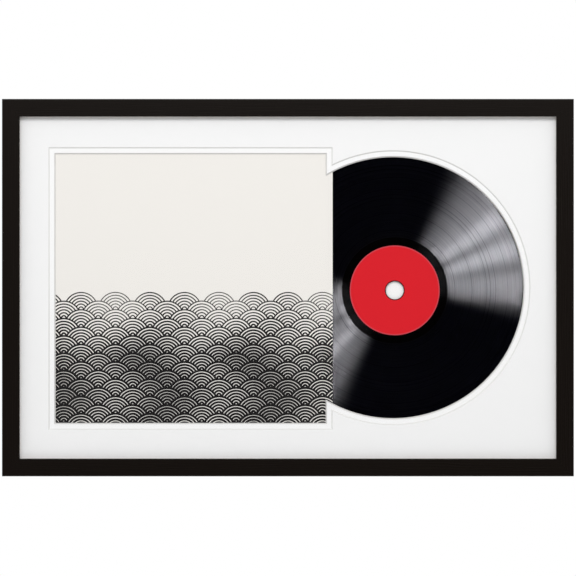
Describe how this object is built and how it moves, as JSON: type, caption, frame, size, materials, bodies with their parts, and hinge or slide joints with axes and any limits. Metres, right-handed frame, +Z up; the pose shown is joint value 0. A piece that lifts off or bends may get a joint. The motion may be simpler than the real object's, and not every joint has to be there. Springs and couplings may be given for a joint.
{
  "type": "vinyl record frame",
  "caption": "Flat black wooden wall frame with double white mats whose joined square and round windows show an album sleeve and the record drawn half out of it.",
  "frame": {"origin": "centre of the outline on the wall plane, where the four bumpers touch the wall", "axes": "+X to the right as seen from the front, +Z up, +Y into the wall; the front faces -Y"},
  "size_m": [0.635, 0.0231, 0.419],
  "materials": {
    "black_wood": "satin black lacquer on a flat-faced wood moulding",
    "clear_sheet": "clear polished acrylic sheet",
    "mat_board": "matt white mat board with a white core",
    "foam_board": "matt white foam-cored board",
    "hardboard": "smooth brown fibreboard",
    "sleeve_card": "smooth cream printed card",
    "record_vinyl": "pressed black PVC with fine circular grooves",
    "label_paper": "plain red label paper",
    "zinc_steel": "zinc-plated steel",
    "bumper_rubber": "clear grey polyurethane"
  },
  "bodies": {
    "root": {"top_rail": "black_wood", "bottom_rail": "black_wood", "left_stile": "black_wood", "right_stile": "black_wood", "corner_nails": "zinc_steel", "glazing_sheet": "clear_sheet", "top_mat": "mat_board", "under_mat": "mat_board", "insert_board": "foam_board", "mount_board": "mat_board", "backing_board": "hardboard", "album_sleeve": "sleeve_card", "vinyl_record": "record_vinyl", "front_label": "label_paper", "back_label": "label_paper", "turn_button_screws": "zinc_steel", "left_hanger_strap": "zinc_steel", "right_hanger_strap": "zinc_steel", "hanger_screws": "zinc_steel", "bumpers": "bumper_rubber"},
    "bottom_left_turn_button": {"bottom_left_turn_button": "zinc_steel"},
    "bottom_right_turn_button": {"bottom_right_turn_button": "zinc_steel"},
    "left_turn_button": {"left_turn_button": "zinc_steel"},
    "right_turn_button": {"right_turn_button": "zinc_steel"},
    "top_left_turn_button": {"top_left_turn_button": "zinc_steel"},
    "top_right_turn_button": {"top_right_turn_button": "zinc_steel"},
    "left_d_ring": {"left_d_ring": "zinc_steel"},
    "right_d_ring": {"right_d_ring": "zinc_steel"}
  },
  "joints": [
    {"name": "bottom_left_button_turn", "type": "hinge", "parent": "root", "child": "bottom_left_turn_button", "pos_m": [-0.13335, -0.0034, -0.20297], "axis": [0, 1, 0], "continuous": true},
    {"name": "bottom_right_button_turn", "type": "hinge", "parent": "root", "child": "bottom_right_turn_button", "pos_m": [0.13335, -0.0034, -0.20297], "axis": [0, 1, 0], "continuous": true},
    {"name": "left_button_turn", "type": "hinge", "parent": "root", "child": "left_turn_button", "pos_m": [-0.31093, -0.0034, 0], "axis": [0, 1, 0], "continuous": true},
    {"name": "right_button_turn", "type": "hinge", "parent": "root", "child": "right_turn_button", "pos_m": [0.31093, -0.0034, 0], "axis": [0, 1, 0], "continuous": true},
    {"name": "top_left_button_turn", "type": "hinge", "parent": "root", "child": "top_left_turn_button", "pos_m": [-0.13335, -0.0034, 0.20297], "axis": [0, 1, 0], "continuous": true},
    {"name": "top_right_button_turn", "type": "hinge", "parent": "root", "child": "top_right_turn_button", "pos_m": [0.13335, -0.0034, 0.20297], "axis": [0, 1, 0], "continuous": true},
    {"name": "left_ring_swing", "type": "hinge", "parent": "root", "child": "left_d_ring", "pos_m": [-0.31093, -0.00242, 0.11955], "axis": [1, 0, 0], "range_deg": [0, 175]},
    {"name": "right_ring_swing", "type": "hinge", "parent": "root", "child": "right_d_ring", "pos_m": [0.31093, -0.00242, 0.11955], "axis": [1, 0, 0], "range_deg": [0, 175]}
  ]
}
